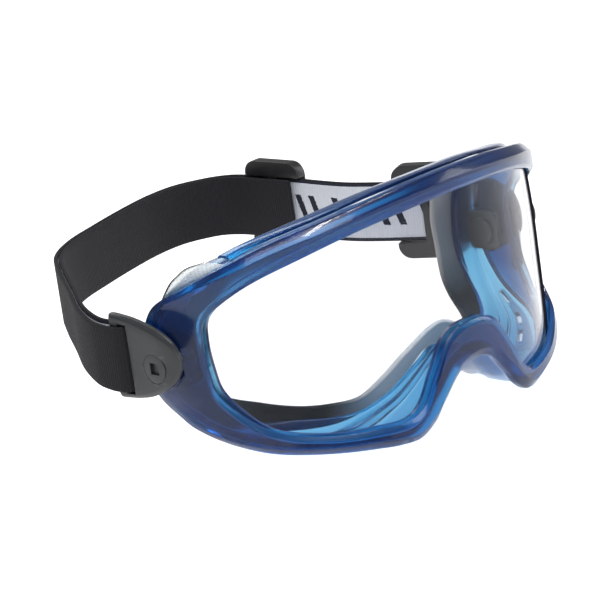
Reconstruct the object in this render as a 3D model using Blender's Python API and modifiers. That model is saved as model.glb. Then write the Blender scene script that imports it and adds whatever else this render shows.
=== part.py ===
"""Safety goggles: soft frame, wrap-around lens, face seal, vents, swivel clips and elastic strap.

Lengths below are millimetres in the frame of the design: X to the wearer's left, Y towards the
back of the head, Z up, from the front of the lens at mid height.  place() turns them into metres
with the origin under the middle of the whole object.
"""
import math

import bmesh
import bpy
import numpy as np
from mathutils import Matrix, Vector

# ---- driving dimensions -------------------------------------------------------------------------
BASE_Z = -36.5                 # lowest point of the rim and of the flange
MIDDLE_Y = 81.10               # middle of the object from front to back
PLAN_ARCS = ((45, 84), (22, 120), (15, 28), (25, 120))   # (length, radius) of the lens, centre to temple
LEAN = 0.0026                  # the upper half leans back by this times the height squared

# Stations from the brow, round the temple, to the bridge of the nose.  Each holds the rim's outer
# edge and the lens window as (length along the lens, height), the face flange and the mouth of the
# seal as (x, y, z), and how much of the way to the mouth the flange reaches.
STATIONS = (
    ((0, 38.6), (0, 31.8), (0, 31, 30), (0, 36, 20.5), 0.45),
    ((20, 37.6), (19, 30.8), (18, 32, 30), (14, 37, 20.5), 0.45),
    ((38, 34.9), (36, 28.4), (36, 37, 28), (28, 42, 19.5), 0.45),
    ((59.5, 30.5), (54, 24), (51, 43, 25.2), (38, 48, 18), 0.45),
    ((75, 25.5), (67.6, 19.8), (59.6, 47.8, 23), (45, 53, 15), 0.45),
    ((89, 19.4), (77.2, 14.8), (64.2, 52, 19.4), (49, 57, 10), 0.45),
    ((102, 12.4), (83.8, 9.4), (68.4, 58.8, 12), (51.3, 60, 3), 0.5),
    ((105, 0), (85.2, 2.5), (70, 62, -2), (52.3, 60.4, -5), 0.55),
    ((102.5, -12), (84.4, -5.5), (68.8, 60.7, -12.2), (52.8, 60.5, -12), 0.5),
    ((96.2, -20.5), (82.5, -12.3), (66.3, 57.1, -19.7), (53, 60, -16.6), 0.37),
    ((88.7, -24.9), (76.5, -18.3), (63.3, 52.4, -26.2), (51.8, 57, -20.6), 0.28),
    ((78, -28.6), (69.7, -23.4), (59, 48.2, -30.8), (49.2, 52.5, -22.6), 0.32),
    ((66.4, -32), (61.5, -26.8), (52.8, 44.6, -33.6), (46.2, 47.6, -23.8), 0.5),
    ((52.6, -34.4), (49, -29.2), (45, 40.6, -36.5), (42.6, 41.6, -25.2), 0.64),
    ((38.2, -36), (37.5, -29.8), (37, 36.6, -37.6), (37.6, 35.6, -26.4), 0.68),
    ((26, -36.8), (27.5, -29.9), (28.9, 32, -36.6), (31.4, 30.3, -26.8), 0.58),
    ((18.8, -33.1), (21.7, -26.5), (21.3, 27.4, -33), (24.7, 25.4, -26), 0.42),
    ((14, -27.6), (16.2, -17.8), (14.8, 23, -29), (18.7, 21.3, -21.4), 0.34),
    ((7.2, -20.8), (9.6, -8.8), (7, 19.6, -22.6), (12.2, 16.6, -14.8), 0.3),
    ((0, -18.6), (0, -6.6), (0, 20, -19.4), (0, 14, -9.2), 0.28),
)
STEPS_PER_STATION = 3

RIM_PROUD = 2.2                # how far the rim's crest stands in front of the lens curve
RIM_PROUD_TEMPLE = 0.7         # the same on the wide temple blocks
RIM_BACK = 4.4                 # depth of the rim behind the lens curve
WALL = 2.0                     # thickness of the side walls and the flange
LENS_FRONT = 0.6               # lens face behind the lens curve
LENS_THICK = 1.9
LENS_INSERT = 2.4              # how far the lens reaches into its groove
GAP = 0.3                      # running gap between touching pieces
SEAL_THICK = 2.6
SEAL_GAP = 0.7                 # seal behind the flange, along Y
SEAL_ROOT = 0.55               # where the seal begins, as a share of the flange's own reach

PIVOT_Y, PIVOT_Z = 51.5, -2.8  # strap pivots, on one line along X
BOSS_FACE = 76.8               # x of the boss that each clip turns against
BOSS_R = 7.4
BLOCK_FACE = 76.2              # x of the temple block round the boss
BOSS_BACK = 66.4               # x of the boss's inner face
CLIP_IN, CLIP_OUT = 77.2, 79.8
BAR_FRONT, BAR_BACK = 65.2, 69.2     # clip's rear bar, from front to back
CLIP_NOSE = (                  # the clip's edge in (y, z), from above the bar round the nose to below it
    (66.6, 12.3), (60, 11.6), (54.5, 10.4), (48.8, 8.6), (44.2, 5.8), (41.6, 2.2), (41.4, -1.8),
    (43.6, -5.4), (48.2, -9), (54.2, -11.7), (60, -13), (66.6, -13.6),
)
SLOT_FRONT = 61.4
STUD_R = 2.9
HEAD_R = 4.4
PLATE_HALF = 6.2               # half the width of the square washer behind each boss

WEB_WIDTH = 20.0
WEB_THICK = 1.2
WEB_TURN_R = 2.3               # middle of the webbing where it folds round a clip's bar
SLIDER_LENGTH, SLIDER_HEIGHT, SLIDER_CORNER = 23.0, 31.2, 4.4

# The strap's route, from the right clip round the head to the left clip, mid-width of the webbing.
STRAP_ROUTE = (
    (-80.8, 69.2, -1.2), (-79.4, 77, -0.6), (-74, 88.5, 0.8), (-64.5, 102.5, 2), (-54, 118, 2.8),
    (-42.5, 132.5, 3), (-27, 143.5, 2.4), (-10, 151, 1.8), (8, 157.3, 1.5), (24, 162, 1.1),
    (37, 163.3, 0.8), (47.5, 160.9, 0.4), (54.6, 156.8, 0.1), (57.6, 150.6, 0), (58.5, 139, 0),
    (59.3, 128, 0), (60.1, 117, -0.2), (62, 107.5, -0.6), (66, 98.5, -1), (70.1, 90, -1.2),
    (74.1, 81.5, -1.3), (78.1, 73.2, -1.3), (80.8, 69.2, -1.2),
)

BLUE = (0.03, 0.10, 0.42, 0.75)
CLEAR = (0.85, 0.87, 0.93, 0.25)
SEAL_GREY = (0.22, 0.22, 0.23, 1)
SCREEN_WHITE = (0.82, 0.84, 0.84, 0.6)
SLATE = (0.07, 0.075, 0.085, 1)
BLACK = (0.02, 0.02, 0.022, 1)


# ---- scene helpers ------------------------------------------------------------------------------
def clear_scene():
    for obj in list(bpy.data.objects):
        bpy.data.objects.remove(obj, do_unlink=True)


def new_collection(name):
    collection = bpy.data.collections.new(name)
    bpy.context.scene.collection.children.link(collection)
    return collection


def material(name, colour, roughness):
    mat = bpy.data.materials.new(name)
    mat.use_nodes = True
    shader = mat.node_tree.nodes["Principled BSDF"]
    shader.inputs["Base Color"].default_value = colour[:3] + (1,)
    shader.inputs["Alpha"].default_value = colour[3]
    shader.inputs["Roughness"].default_value = roughness
    return mat


def place(point):
    x, y, z = point
    return Vector((x, y - MIDDLE_Y, z - BASE_Z)) * 0.001


def add_object(name, mesh, collection, mat=None):
    obj = bpy.data.objects.new(name, mesh)
    collection.objects.link(obj)
    if mat:
        mesh.materials.append(mat)
    return obj


def mesh_from(name, points, faces):
    """A mesh from design points; normals are made to face out."""
    mesh = bpy.data.meshes.new(name)
    mesh.from_pydata([place(p) for p in points], [], faces)
    bm = bmesh.new()
    bm.from_mesh(mesh)
    bmesh.ops.recalc_face_normals(bm, faces=bm.faces)
    bm.to_mesh(mesh)
    bm.free()
    return mesh


def smooth(obj, degrees=35):
    obj.data.shade_smooth()
    obj.data.set_sharp_from_angle(angle=math.radians(degrees))


def add_bevel(obj, width, segments=2):
    bevel = obj.modifiers.new("Bevel", "BEVEL")
    bevel.width = width * 0.001
    bevel.segments = segments
    bevel.limit_method = "ANGLE"


def add_boolean(obj, other, operation="DIFFERENCE"):
    boolean = obj.modifiers.new(other.name, "BOOLEAN")
    boolean.operation = operation
    boolean.object = other
    boolean.solver = "EXACT"


def set_origin(obj, point):
    """Moves the object's origin to a design point without moving the object."""
    origin = place(point)
    obj.data.transform(Matrix.Translation(-origin))
    obj.location = origin


def cutter(obj):
    obj.hide_render = True
    obj.display_type = "WIRE"
    return obj


# ---- curves of the design -----------------------------------------------------------------------
def plan(s):
    """Point and outward normal of the lens curve, seen from above, s along it from the centre."""
    left, angle, x, y = abs(s), 0.0, 0.0, 0.0
    for length, radius in PLAN_ARCS:
        turn = min(left, length) / radius
        x += radius * (math.sin(angle + turn) - math.sin(angle))
        y += radius * (math.cos(angle) - math.cos(angle + turn))
        angle += turn
        left -= length
        if left <= 0:
            break
    x += max(left, 0) * math.cos(angle)
    y += max(left, 0) * math.sin(angle)
    side = -1 if s < 0 else 1
    return side * x, y, side * math.sin(angle), -math.cos(angle)


def skin(s, z, h):
    """A point h proud of the lens curve."""
    x, y, nx, ny = plan(s)
    return np.array((x + h * nx, y + h * ny + LEAN * max(z, 0) ** 2, z))


def ease(t):
    t = min(max(t, 0), 1)
    return t * t * (3 - 2 * t)


def station_rows():
    """All stations as rows of numbers, right round the frame, with the second half mirrored."""
    half = [[*outer, *window, *flange, *mouth, share] for outer, window, flange, mouth, share in STATIONS]
    flip = np.array((-1, 1, -1, 1, -1, 1, 1, -1, 1, 1, 1))
    rows = np.array(half, float)
    return np.vstack((rows, rows[-2:0:-1] * flip))


ROWS = station_rows()


def row_at(u):
    """Catmull-Rom interpolation of the stations; u counts stations from the brow."""
    count = len(ROWS)
    i, t = int(math.floor(u)), u - math.floor(u)
    p0, p1, p2, p3 = (ROWS[(i + k) % count] for k in (-1, 0, 1, 2))
    return 0.5 * (2 * p1 + (p2 - p0) * t + (2 * p0 - 5 * p1 + 4 * p2 - p3) * t ** 2
                  + (3 * p1 - p0 - 3 * p2 + p3) * t ** 3)


class Section:
    """Cross-section of the goggles at one station."""

    def __init__(self, u):
        row = row_at(u)
        self.outer, self.window = row[0:2], row[2:4]
        self.flange, self.mouth, self.share = row[4:7], row[7:10], row[10]
        self.width = math.hypot(*(self.outer - self.window))
        wide = min(max((self.width - 9) / 9, 0), 1)
        self.proud = RIM_PROUD + (RIM_PROUD_TEMPLE - RIM_PROUD) * wide
        self.front = self.rim(self.width - 1.8, -RIM_BACK)
        self.back = self.flange - (0, WALL, 0)
        self.depth = np.linalg.norm(self.back - self.front)
        along = row_at(u + 0.1)[4:7] - row_at(u - 0.1)[4:7]
        out = np.cross(along, (0, 1, 0))
        self.out = out / np.linalg.norm(out)

    def rim(self, d, h):
        """A point d outwards from the window's edge, h proud of the lens curve."""
        s, z = self.window + (self.outer - self.window) * (d / self.width)
        return skin(s, z, h)

    def face(self, d, h):
        """The same on the outer surface, which swells out round the pivot."""
        point = self.rim(d, h)
        away = math.hypot(point[1] - PIVOT_Y, point[2] - PIVOT_Z)
        swell = ease((18 - away) / 10.5) * ease((h + 3.6) / 2.4) * ease(d / 4.5)
        point[0] += (math.copysign(BLOCK_FACE, point[0]) - point[0]) * swell
        return point

    def wall(self, v, h=0.0):
        """A point on the side wall, v from rim to flange, h proud of it."""
        return self.front + (self.back - self.front) * v + self.out * h

    def lip(self, share):
        return self.flange + (self.mouth - self.flange) * share


def on_base(point):
    """Keeps a point from going below the plane that the goggles stand on."""
    return np.array((point[0], point[1], max(point[2], BASE_Z)))


# ---- lofts --------------------------------------------------------------------------------------
def ring_loft(sections, holes=None):
    """Closed loft through equal sections, with optional windows through a wall.

    holes maps the number of a section to the pairs of profile cells, outer and inner, that are
    open between it and the next section.
    """
    n, m = len(sections), len(sections[0])
    points = [p for section in sections for p in section]
    holes = holes or {}

    def vertex(k, j):
        return (k % n) * m + j % m

    faces = []
    for k in range(n):
        closed = set(range(m)) - {j for pair in holes.get(k, ()) for j in pair}
        faces += [(vertex(k, j), vertex(k + 1, j), vertex(k + 1, j + 1), vertex(k, j + 1)) for j in closed]
    for k, pairs in holes.items():
        seams = [seam for a, b in pairs for seam in ((a, b + 1), (a + 1, b))]
        for low, high in seams:
            if seams.count((low, high)) == 1:
                faces.append((vertex(k, low), vertex(k + 1, low), vertex(k + 1, high), vertex(k, high)))
        for side, beyond in ((k, k - 1), (k + 1, k + 1)):
            for a, b in pairs:
                if (a, b) not in holes.get(beyond % n, ()):
                    faces.append((vertex(side, a), vertex(side, a + 1), vertex(side, b), vertex(side, b + 1)))
    return points, faces


def frame_profile(section):
    """The frame's section: rim, side wall with one step, flange lip, and the lens groove."""
    width, rim, wall = section.width, section.rim, section.wall
    inner = max(width - 4.2, 3.4)
    lens_back = -(LENS_FRONT + LENS_THICK + GAP)
    groove = LENS_INSERT + GAP
    lip = section.lip(section.share)
    down = np.array((0, WALL, 0))
    swell, step = min(0.3, section.depth * 0.03), min(1.0, section.depth * 0.04)
    reach = np.linalg.norm(section.mouth - section.flange)
    inward = section.lip(min(section.share * 0.6, WALL * 1.1 / reach))
    face = section.face
    crown = [face(1.3 + (width - 3.9) * t, section.proud * (0.8 + 0.2 * t)) for t in (0, 0.25, 0.5, 0.75, 1)]
    points = (
        face(0, 0.5), *crown, face(width, 0.2),
        face(width, -2.0), face(width - 1.4, -3.4), wall(0), wall(0.18, swell), wall(0.42, swell),
        wall(0.62, swell), wall(0.68, -step), section.back, section.flange, lip, lip - down,
        inward - down, wall(0.68, -step - WALL), wall(0.62, swell - WALL), wall(0.42, swell - WALL),
        wall(0.18, swell - WALL),
        rim(inner, -RIM_BACK), rim(0.2, -RIM_BACK), rim(0.2, lens_back), rim(groove, lens_back),
        rim(groove, GAP - LENS_FRONT), rim(0.2, GAP - LENS_FRONT),
    )
    return [on_base(p) for p in points]


NARROW, WIDE = ((10, 21),), ((10, 21), (11, 20))     # profile cells open in a slot and in a side window


def ring_positions(start=0):
    """Stations of the lofts' sections, once round from the given station."""
    count = len(ROWS) * STEPS_PER_STATION
    return [start + k / STEPS_PER_STATION for k in range(count)]


def wall_openings():
    """Open cells of the wall by section: screened windows, and slots under the top cover."""
    total = len(ROWS) * STEPS_PER_STATION
    openings = {k: WIDE for k in range(13, 16)}
    openings.update({k: NARROW for k in (1, 4, 7, 10, 29, 30, 33, 34, 36, 37)})
    openings.update({total - 1 - k: cells for k, cells in list(openings.items())})
    return openings


def make_frame(collection, cutters, mat):
    sections = [frame_profile(Section(u)) for u in ring_positions()]
    points, faces = ring_loft(sections, wall_openings())
    frame = add_object("frame_shell", mesh_from("frame_shell", points, faces), collection, mat)
    for side, label in ((-1, "right"), (1, "left")):
        boss = cylinder("boss_" + label, BOSS_R, BOSS_BACK, BOSS_FACE, side, cutters)
        add_boolean(frame, cutter(boss), "UNION")
        bore = cylinder("frame_bore_" + label, STUD_R + GAP, 60.0, BOSS_FACE + 1, side, cutters)
        add_boolean(frame, cutter(bore))
    smooth(frame)
    return frame


def make_lens(collection, mat):
    """The window's outline grown into the groove, flat, sliced, then bent to the lens curve."""
    outline = []
    for u in ring_positions():
        section = Section(u)
        outline.append(section.window + (section.outer - section.window) * (LENS_INSERT / section.width))
    bm = bmesh.new()
    bm.faces.new([bm.verts.new((s, 0, z)) for s, z in outline])
    slices = [((s, 0, 0), (1, 0, 0)) for s in np.arange(-84, 84.1, 4.0)]
    slices += [((0, 0, z), (0, 0, 1)) for z in (4, 12, 18, 24, 29)]
    for point, normal in slices:
        geometry = bm.verts[:] + bm.edges[:] + bm.faces[:]
        bmesh.ops.bisect_plane(bm, geom=geometry, dist=1e-5, plane_co=point, plane_no=normal)
    for vertex in bm.verts:
        vertex.co = place(skin(vertex.co.x, vertex.co.z, -LENS_FRONT))
    bmesh.ops.recalc_face_normals(bm, faces=bm.faces)
    bm.faces.ensure_lookup_table()
    middle = max(bm.faces, key=lambda f: f.calc_area())
    if middle.normal.y > 0:
        bmesh.ops.reverse_faces(bm, faces=bm.faces)
    mesh = bpy.data.meshes.new("lens")
    bm.to_mesh(mesh)
    bm.free()
    lens = add_object("lens", mesh, collection, mat)
    add_thickness(lens, LENS_THICK, -1)
    smooth(lens)


def add_thickness(obj, thickness, offset):
    solid = obj.modifiers.new("Solidify", "SOLIDIFY")
    solid.thickness = thickness * 0.001
    solid.offset = offset
    solid.use_even_offset = True


def make_seal(collection, mat):
    """The seal's lip, from behind the flange's inner half to the mouth that the face closes."""
    sections = []
    for u in ring_positions():
        section = Section(u)
        back = np.array((0, 1, 0))
        mouth, share = section.mouth, section.share
        start = section.lip(share * SEAL_ROOT) + back * SEAL_GAP
        points = (
            start, start + back * SEAL_THICK, section.lip(share + 0.1) + back * (SEAL_THICK + 0.9),
            mouth + back * 1.4, mouth - section.out * 0.8, mouth - back * 0.8,
            section.lip(share + 0.17) + back * 0.5, section.lip(share) + back * SEAL_GAP,
        )
        sections.append([on_base(p) for p in points])
    points, faces = ring_loft(sections)
    smooth(add_object("face_seal", mesh_from("face_seal", points, faces), collection, mat), 50)


def patch(name, first, last, rows, collection, mat, thickness):
    """A curved strip over the side wall: rows are (share of the wall, height above it)."""
    rings = [u for u in ring_positions(-len(ROWS)) + ring_positions() if first + 0.1 < u < last - 0.1]
    positions = [first] + rings + [last]
    points, faces = [], []
    for u in positions:
        section = Section(u)
        points += [section.wall(max(v, 1.6 / section.depth), h) for v, h in rows]
    m = len(rows)
    for k in range(len(positions) - 1):
        for j in range(m - 1):
            a = k * m + j
            faces.append((a, a + m, a + m + 1, a + 1))
    obj = add_object(name, mesh_from(name, points, faces), collection, mat)
    bm = bmesh.new()
    bm.from_mesh(obj.data)
    bm.faces.ensure_lookup_table()
    face = bm.faces[len(bm.faces) // 2]
    middle = Section((first + last) / 2)
    if face.normal.dot(Vector(middle.out)) < 0:
        bmesh.ops.reverse_faces(bm, faces=bm.faces)
        bm.to_mesh(obj.data)
    bm.free()
    add_thickness(obj, thickness, -1)
    smooth(obj)
    return obj


def make_vents(collection, blue, white):
    cover = ((0.07, 2.1), (0.2, 2.7), (0.42, 3.1), (0.52, 2.6))
    patch("top_vent_cover", -3.85, 3.85, cover, collection, blue, 1.0)
    window = ((0.08, 1.3), (0.28, 2.0), (0.48, 2.8), (0.7, 3.4), (0.9, 3.8))
    screen = ((0.08, 1.4), (0.18, 1.6), (0.36, 1.8), (0.44, 1.8))
    count = len(ROWS)
    for label, ends in (("left", (4.1, 5.6)), ("right", (count - 5.6, count - 4.1))):
        patch("top_vent_screen_" + label, *ends, window, collection, white, 0.8)
    for label, ends in (("left", (9.5, 12.9)), ("right", (count - 12.9, count - 9.5))):
        patch("lower_vent_screen_" + label, *ends, screen, collection, white, 0.8)


# ---- clips, studs and washers -------------------------------------------------------------------
def cylinder(name, radius, x_from, x_to, side, collection, segments=32):
    """A cylinder along X on the pivots' axis."""
    bm = bmesh.new()
    bmesh.ops.create_cone(bm, cap_ends=True, segments=segments, radius1=radius * 0.001,
                          radius2=radius * 0.001, depth=(x_to - x_from) * 0.001)
    bmesh.ops.rotate(bm, verts=bm.verts, matrix=Matrix.Rotation(math.pi / 2, 3, "Y"))
    middle = place((side * (x_from + x_to) / 2, PIVOT_Y, PIVOT_Z))
    bmesh.ops.translate(bm, verts=bm.verts, vec=middle)
    mesh = bpy.data.meshes.new(name)
    bm.to_mesh(mesh)
    bm.free()
    return add_object(name, mesh, collection)


def box(name, low, high, collection):
    """A box between two design points."""
    a, b = place(low), place(high)
    bm = bmesh.new()
    bmesh.ops.create_cube(bm, size=1)
    for vertex in bm.verts:
        vertex.co = Vector(a[i] + (b[i] - a[i]) * (vertex.co[i] + 0.5) for i in range(3))
    bmesh.ops.recalc_face_normals(bm, faces=bm.faces)
    mesh = bpy.data.meshes.new(name)
    bm.to_mesh(mesh)
    bm.free()
    return add_object(name, mesh, collection)


def clip_outline():
    """D-shaped plate in (y, z): a round nose in front of the pivot, widening to the bar."""
    nose = [(y, z) for y, z in spline(CLIP_NOSE, 2)]
    top, bottom = CLIP_NOSE[0][1], CLIP_NOSE[-1][1]
    corners = (
        (BAR_BACK - 0.7, bottom + 0.9), (BAR_BACK, bottom + 2.6),
        (BAR_BACK, top - 2.6), (BAR_BACK - 0.7, top - 0.9),
    )
    return nose + list(corners)


def make_clip(side, label, collection, cutters, mat):
    outline = clip_outline()
    count = len(outline)
    points = [(side * x, y, z) for x in (CLIP_IN, CLIP_OUT) for y, z in outline]
    faces = [tuple(range(count)), tuple(range(count, 2 * count))]
    faces += [(k, (k + 1) % count, count + (k + 1) % count, count + k) for k in range(count)]
    name = "strap_clip_" + label
    clip = add_object(name, mesh_from(name, points, faces), collection, mat)
    set_origin(clip, (side * CLIP_IN, PIVOT_Y, PIVOT_Z))
    add_bevel(clip, 0.7)
    middle = -1.2
    slot = box("clip_slot_" + label, (side * (CLIP_IN - 2), SLOT_FRONT, middle - WEB_WIDTH / 2 - 0.6),
               (side * (CLIP_OUT + 2), BAR_FRONT, middle + WEB_WIDTH / 2 + 0.6), cutters)
    bore = cylinder("clip_bore_" + label, STUD_R + GAP, CLIP_IN - 2, CLIP_OUT + 2, side, cutters)
    seat = cylinder("clip_seat_" + label, HEAD_R + GAP, CLIP_OUT - 1.3, CLIP_OUT + 2, side, cutters)
    for tool in (slot, bore, seat):
        add_boolean(clip, cutter(tool))
    smooth(clip)
    return clip


def make_stud(side, label, collection, cutters, mat):
    """Stud through clip, boss and washer, closed over at the inner end like a rivet."""
    inner_end = BOSS_BACK - 2.8
    stud = cylinder("pivot_stud_" + label, STUD_R, inner_end + 0.5, CLIP_OUT - 0.6, side, collection)
    stud.data.materials.append(mat)
    head = cylinder("stud_head_" + label, HEAD_R, CLIP_OUT - 1.0, CLIP_OUT - 0.1, side, cutters)
    tail = cylinder("stud_tail_" + label, HEAD_R, inner_end, inner_end + 1.0, side, cutters)
    for piece in (head, tail):
        add_boolean(stud, cutter(piece), "UNION")
    half = 1.9
    socket = box("stud_socket_" + label, (side * (CLIP_OUT - 0.9), PIVOT_Y - half, PIVOT_Z - half),
                 (side * (CLIP_OUT + 2), PIVOT_Y + half, PIVOT_Z + half), cutters)
    add_boolean(stud, cutter(socket))
    smooth(stud)
    low = (side * (inner_end + 1.3), PIVOT_Y - PLATE_HALF, PIVOT_Z - PLATE_HALF)
    high = (side * (BOSS_BACK - GAP), PIVOT_Y + PLATE_HALF, PIVOT_Z + PLATE_HALF)
    washer = box("stud_washer_" + label, low, high, collection)
    round_corners(washer, 2.4, 0)
    washer.data.materials.append(mat)
    bore = cylinder("washer_bore_" + label, STUD_R + GAP, inner_end, inner_end + 4, side, cutters)
    add_boolean(washer, cutter(bore))
    smooth(washer)


# ---- strap --------------------------------------------------------------------------------------
def spline(points, steps):
    """Catmull-Rom through open points, steps to each span."""
    pts = [np.array(p, float) for p in points]
    pts = [2 * pts[0] - pts[1]] + pts + [2 * pts[-1] - pts[-2]]
    out = []
    for i in range(1, len(pts) - 2):
        p0, p1, p2, p3 = pts[i - 1:i + 3]
        for k in range(steps):
            t = k / steps
            out.append(0.5 * (2 * p1 + (p2 - p0) * t + (2 * p0 - 5 * p1 + 4 * p2 - p3) * t ** 2
                              + (3 * p1 - p0 - 3 * p2 + p3) * t ** 3))
    return out + [pts[-2]]


def inside_offset(route, k, distance):
    """Point k of the route moved sideways into the strap's loop."""
    ahead = route[min(k + 1, len(route) - 1)] - route[max(k - 1, 0)]
    along = ahead / np.linalg.norm(ahead * (1, 1, 0))
    return route[k] + np.array((along[1], -along[0], 0)) * distance


def fold(side):
    """Half turn of the webbing round a clip's bar, from the outside to the inside."""
    outer = CLIP_OUT + GAP + 0.1 + WEB_THICK / 2
    centre_x, centre_y = outer - WEB_TURN_R, BAR_FRONT - 0.3
    points = []
    for k in range(9):
        angle = math.pi * k / 8
        x = centre_x + WEB_TURN_R * math.cos(angle)
        points.append(np.array((side * x, centre_y - WEB_TURN_R * math.sin(angle), -1.2)))
    return points


def return_layer(route, first, last, near_slider, at_clip=4.6):
    """The doubled-back layer beside the route's points first..last, first being at the clip."""
    count = abs(last - first)
    way = 1 if last > first else -1
    points = []
    for k in range(count + 1):
        left = count - k
        apart = 1.7
        apart += (at_clip - apart) * max(0, 1 - k / 6) ** 2
        if left < near_slider:
            apart = max(apart, 3.0)
        elif left < near_slider + 3:
            apart = max(apart, 1.7 + 1.3 * (near_slider + 3 - left) / 3)
        points.append(inside_offset(route, first + way * k, apart))
    return points


def make_strap(collection, mat):
    steps = 3
    route = spline(STRAP_ROUTE, steps)
    last = len(route) - 1
    right = return_layer(route, 1, 15 * steps, 8)
    left = return_layer(route, last - 1, last - 2 * steps, 9)
    path = right[::-1] + fold(-1)[::-1] + route + fold(1) + left
    low = [p - (0, 0, WEB_WIDTH / 2) for p in path]
    high = [p + (0, 0, WEB_WIDTH / 2) for p in path]
    count = len(path)
    faces = [(k, k + 1, count + k + 1, count + k) for k in range(count - 1)]
    strap = add_object("strap_webbing", mesh_from("strap_webbing", low + high, faces), collection, mat)
    set_origin(strap, (0, PIVOT_Y, PIVOT_Z))
    add_thickness(strap, WEB_THICK, 0)
    smooth(strap, 60)


def slider_block(name, low, high, place_matrix, collection):
    """A box in a slider's own axes: along the strap, out from the head, up."""
    bm = bmesh.new()
    bmesh.ops.create_cube(bm, size=1)
    for vertex in bm.verts:
        co = [low[i] + (high[i] - low[i]) * (vertex.co[i] + 0.5) for i in range(3)]
        vertex.co = Vector(co) * 0.001
    bmesh.ops.recalc_face_normals(bm, faces=bm.faces)
    mesh = bpy.data.meshes.new(name)
    bm.to_mesh(mesh)
    bm.free()
    obj = add_object(name, mesh, collection)
    obj.matrix_world = place_matrix
    return obj


def make_slider(label, start, end, distance, collection, cutters, mat):
    """Tri-glide on a straight run of the strap: end bars outside the webbing, middle bar inside."""
    start, end = np.array(start, float), np.array(end, float)
    along = Vector((end - start) / np.linalg.norm(end - start))
    centre = place(start) + along * distance * 0.001
    up = Vector((0, 0, 1))
    out = up.cross(along).normalized()
    axes = Matrix((along, out, along.cross(out))).transposed().to_4x4()
    spot = Matrix.Translation(centre) @ axes
    half, tall, slot = SLIDER_LENGTH / 2, SLIDER_HEIGHT / 2, WEB_WIDTH / 2 + 0.5
    name = "strap_slider_" + label
    slider = slider_block(name, (-half, -2.0, -tall), (half, 2.0, tall), spot, collection)
    slider.data.materials.append(mat)
    cuts = (
        ("tunnel", (-half - 1, -1.0, -slot), (half + 1, 1.0, slot)),
        ("outer_window", (-half + 3, 0.0, -slot), (half - 3, 3.0, slot)),
        ("inner_window_a", (-half - 1, -3.0, -slot), (-1.8, 0.0, slot)),
        ("inner_window_b", (1.8, -3.0, -slot), (half + 1, 0.0, slot)),
    )
    round_corners(slider, SLIDER_CORNER, 1)
    for tool, low, high in cuts:
        add_boolean(slider, cutter(slider_block(name + "_" + tool, low, high, spot, cutters)))
    smooth(slider)
    return slider


def round_corners(obj, radius, axis):
    """Rounds the four edges of a box that run along one of its axes."""
    bm = bmesh.new()
    bm.from_mesh(obj.data)
    across = [e for e in bm.edges if abs((e.verts[0].co - e.verts[1].co)[axis]) > 0.0005]
    bmesh.ops.bevel(bm, geom=across, offset=radius * 0.001, segments=4, profile=0.5, affect="EDGES")
    bm.to_mesh(obj.data)
    bm.free()


# ---- build --------------------------------------------------------------------------------------
def main():
    clear_scene()
    parts = new_collection("safety_goggles")
    cutters = new_collection("cutters")
    blue = material("frame_blue", BLUE, 0.2)
    white = material("vent_screen", SCREEN_WHITE, 0.5)
    slate = material("clip_slate", SLATE, 0.4)
    black = material("slider_black", BLACK, 0.4)
    make_frame(parts, cutters, blue)
    make_lens(parts, material("lens_clear", CLEAR, 0.05))
    make_seal(parts, material("seal_grey", SEAL_GREY, 0.6))
    make_vents(parts, blue, white)
    for side, label in ((-1, "right"), (1, "left")):
        make_clip(side, label, parts, cutters, slate)
        make_stud(side, label, parts, cutters, slate)
    make_strap(parts, material("strap_black", BLACK, 0.9))
    make_slider("right", STRAP_ROUTE[13], STRAP_ROUTE[16], 14.2, parts, cutters, black)
    make_slider("left", STRAP_ROUTE[18], STRAP_ROUTE[21], 18.0, parts, cutters, black)


main()
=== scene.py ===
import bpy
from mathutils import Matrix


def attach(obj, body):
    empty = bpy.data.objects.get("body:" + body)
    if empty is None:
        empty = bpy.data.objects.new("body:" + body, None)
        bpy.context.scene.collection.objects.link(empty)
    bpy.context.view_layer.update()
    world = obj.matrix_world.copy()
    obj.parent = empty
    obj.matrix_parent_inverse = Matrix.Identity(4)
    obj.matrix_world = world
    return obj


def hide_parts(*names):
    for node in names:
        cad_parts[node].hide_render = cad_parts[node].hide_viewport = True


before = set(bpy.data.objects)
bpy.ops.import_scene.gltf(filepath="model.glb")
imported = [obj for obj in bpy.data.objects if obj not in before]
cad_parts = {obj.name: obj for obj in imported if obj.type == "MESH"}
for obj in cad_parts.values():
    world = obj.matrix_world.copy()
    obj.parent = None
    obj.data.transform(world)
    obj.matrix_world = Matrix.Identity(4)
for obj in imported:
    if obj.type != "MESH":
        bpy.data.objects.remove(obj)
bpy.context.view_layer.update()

# Safety goggles.  Lengths are millimetres in the frame of the design: X to the wearer's left, Y
# towards the back of the head, Z up, from the front of the lens at mid height.  place() turns them
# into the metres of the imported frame.
import math

import bmesh
import bpy
import numpy as np
from mathutils import Matrix, Quaternion, Vector

# ---- dimensions shared with the CAD -------------------------------------------------------------
BASE_Z, MIDDLE_Y = -36.5, 81.10
PLAN_ARCS = ((45, 84), (22, 120), (15, 28), (25, 120))
LEAN = 0.0026
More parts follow.
